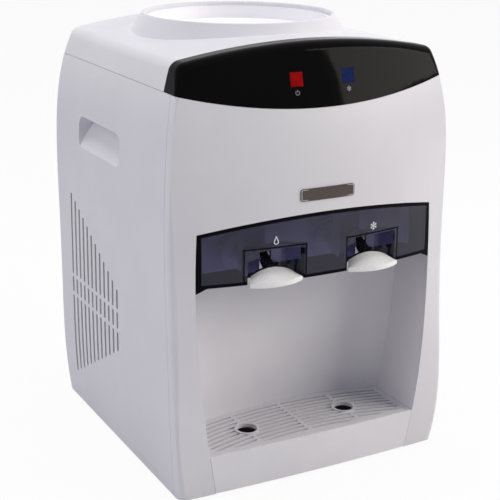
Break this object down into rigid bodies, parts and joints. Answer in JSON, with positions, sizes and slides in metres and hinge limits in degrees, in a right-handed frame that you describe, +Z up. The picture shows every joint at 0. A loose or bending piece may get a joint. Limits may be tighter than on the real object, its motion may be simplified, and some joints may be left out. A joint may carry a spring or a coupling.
{
  "type": "countertop water dispenser",
  "caption": "Countertop bottled-water dispenser: white body with an alcove under a smoked tap cover, lever taps, pull-out drip tray, black indicator panel and bottle collar on top.",
  "frame": {"origin": "on the surface the feet stand on, at the middle of the five feet", "axes": "+Z up, +Y from the front with the taps to the back, +X to the viewer's right when facing the front"},
  "size_m": [0.3, 0.33, 0.4304],
  "materials": {
    "white_abs": "satin white ABS",
    "dark_abs": "fine textured",
    "gloss_black": "high gloss",
    "badge_brown": "gloss, bare",
    "red_lens": "translucent, moulded",
    "blue_lens": "translucent, moulded",
    "smoked_cover": "translucent smoked, polished",
    "circuit_board": "solder mask",
    "zinc_sheet": "galvanised",
    "screw_steel": "plated",
    "rubber": "matt",
    "silicone": "soft, translucent",
    "seat_plastic": "food grade polypropylene",
    "stainless": "drawn stainless",
    "foam": "moulded foam",
    "bare_aluminium": "extruded",
    "ceramic": "ceramic plates",
    "tap_white": "satin white",
    "spring_steel": "bright wire"
  },
  "bodies": {
    "body": {"alcove_liner": "white_abs", "badge_plate": "badge_brown", "baffle": "seat_plastic", "base_plate": "dark_abs", "base_screws": "screw_steel", "board_screws": "screw_steel", "cold_block": "bare_aluminium", "cold_hose": "silicone", "cold_tank": "stainless", "control_panel": "gloss_black", "cooling_lens": "blue_lens", "cooling_module": "ceramic", "cord_gland": "rubber", "drain_fitting": "seat_plastic", "drain_hose": "silicone", "fan_frame": "dark_abs", "fan_screws": "screw_steel", "front_panel": "white_abs", "heat_sink": "bare_aluminium", "indicator_board": "circuit_board", "inner_frame": "zinc_sheet", "left_lever_pin": "spring_steel", "left_side_panel": "white_abs", "left_tap_body": "tap_white", "left_tap_bonnet": "tap_white", "left_tap_nut": "tap_white", "left_tap_washer": "silicone", "left_valve_spring": "spring_steel", "natural_hose": "silicone", "power_board": "circuit_board", "power_lens": "red_lens", "rear_panel": "white_abs", "rear_screws": "screw_steel", "right_lever_pin": "spring_steel", "right_side_panel": "white_abs", "right_tap_body": "tap_white", "right_tap_bonnet": "tap_white", "right_tap_nut": "tap_white", "right_tap_washer": "silicone", "right_valve_spring": "spring_steel", "rubber_feet": "rubber", "switch_housing": "dark_abs", "tank_jacket": "foam", "tank_lid": "seat_plastic", "tap_cover": "smoked_cover", "top_cover": "white_abs"},
    "left_lever": {"left_tap_lever": "tap_white"},
    "right_lever": {"right_tap_lever": "tap_white"},
    "left_valve": {"left_valve_plunger": "tap_white"},
    "right_valve": {"right_valve_plunger": "tap_white"},
    "tray": {"drip_tray": "white_abs"},
    "grille": {"drip_grille": "white_abs"},
    "seat": {"bottle_seat": "seat_plastic", "seat_gasket": "silicone"},
    "fan": {"fan_rotor": "dark_abs"},
    "rocker": {"switch_rocker": "dark_abs"},
    "cap": {"drain_cap": "rubber"}
  },
  "joints": [
    {"name": "left_lever_press", "type": "hinge", "parent": "body", "child": "left_lever", "pos_m": [-0.0525, -0.13, 0.2312], "axis": [1, 0, 0], "range_deg": [0, 12], "stiffness_Nm_per_rad": 0.3, "springref_deg": -28.65},
    {"name": "left_valve_lift", "type": "slide", "parent": "body", "child": "left_valve", "axis": [0, 0, 1], "range_m": [0, 0.00376], "deforming": ["left_valve_spring"]},
    {"name": "right_lever_press", "type": "hinge", "parent": "body", "child": "right_lever", "pos_m": [0.0525, -0.13, 0.2312], "axis": [1, 0, 0], "range_deg": [0, 12], "stiffness_Nm_per_rad": 0.3, "springref_deg": -28.65},
    {"name": "right_valve_lift", "type": "slide", "parent": "body", "child": "right_valve", "axis": [0, 0, 1], "range_m": [0, 0.00376], "deforming": ["right_valve_spring"]},
    {"name": "tray_slide", "type": "slide", "parent": "body", "child": "tray", "axis": [0, -1, 0], "range_m": [0, 0.11]},
    {"name": "grille_lift", "type": "slide", "parent": "tray", "child": "grille", "axis": [0, 0, 1], "range_m": [0, 0.06]},
    {"name": "seat_lift", "type": "slide", "parent": "body", "child": "seat", "axis": [0, 0, 1], "range_m": [0, 0.09]},
    {"name": "fan_spin", "type": "hinge", "parent": "body", "child": "fan", "pos_m": [0, 0.1326, 0.3352], "axis": [0, 1, 0], "continuous": true},
    {"name": "power_rocker", "type": "hinge", "parent": "body", "child": "rocker", "pos_m": [0.062, 0.1452, 0.054], "axis": [1, 0, 0], "range_deg": [-8, 8]},
    {"name": "drain_cap_pull", "type": "slide", "parent": "body", "child": "cap", "axis": [0, 1, 0], "range_m": [0, 0.03]}
  ],
  "couplings": [
    {"joint": "left_lever_press", "follows": "left_valve_lift", "rad_per_m": 55.556},
    {"joint": "right_lever_press", "follows": "right_valve_lift", "rad_per_m": 55.556}
  ]
}
